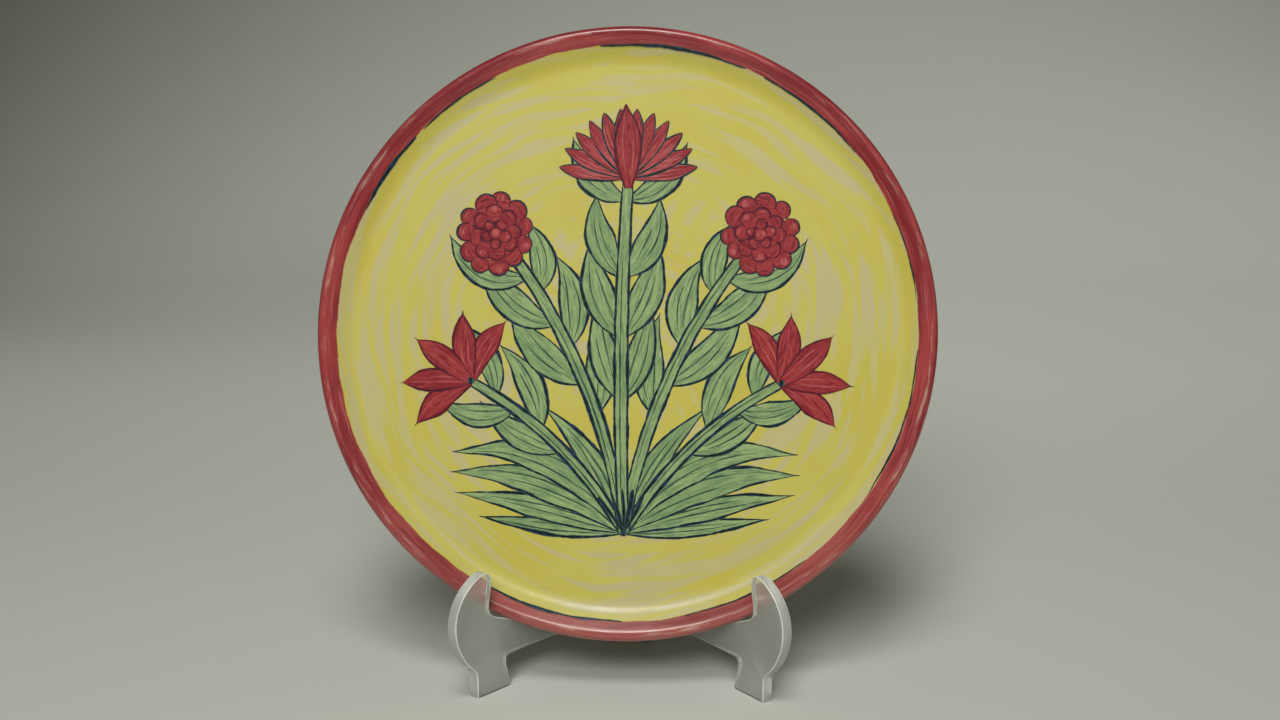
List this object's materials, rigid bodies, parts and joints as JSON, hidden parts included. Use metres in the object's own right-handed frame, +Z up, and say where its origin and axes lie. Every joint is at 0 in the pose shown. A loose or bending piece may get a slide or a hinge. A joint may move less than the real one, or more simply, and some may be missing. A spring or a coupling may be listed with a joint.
{
  "type": "painted display plate",
  "caption": "Round hand painted ceramic display plate with a rolled lip and a foot ring, leaning on a clear plastic stand whose two shaped sides fold together on a back hinge.",
  "frame": {"origin": "on the table, under the middle of the object's bounding box", "axes": "+X to the right as the plate is looked at, +Y away from the viewer, +Z up; the painted face looks along -Y and leans back"},
  "size_m": [0.255, 0.1028, 0.2635],
  "materials": {
    "glazed_clay": "glossy glaze over a brushed yellow ground, a red rim and painted flowers",
    "clear_plastic": "clear plastic with frosted faces and glossy edges",
    "pin_steel": "plain drawn steel"
  },
  "bodies": {
    "hinge_pin": {"hinge_pin": "pin_steel"},
    "left_side": {"left_side": "clear_plastic"},
    "right_side": {"right_side": "clear_plastic"},
    "plate": {"plate": "glazed_clay"}
  },
  "joints": [
    {"name": "plate_lift", "type": "slide", "parent": "hinge_pin", "child": "plate", "axis": [0, 0, 1], "range_m": [0, 0.08]},
    {"name": "left_fold", "type": "hinge", "parent": "hinge_pin", "child": "left_side", "pos_m": [0, 0.03584, 0.033], "axis": [0, 0, 1], "range_deg": [0, 36]},
    {"name": "right_fold", "type": "hinge", "parent": "hinge_pin", "child": "right_side", "pos_m": [0, 0.03584, 0.033], "axis": [0, 0, 1], "range_deg": [-36, 0]}
  ],
  "couplings": [
    {"joint": "left_fold", "follows": "plate_lift", "rad_per_m": 7.85},
    {"joint": "right_fold", "follows": "plate_lift", "rad_per_m": -7.85}
  ]
}
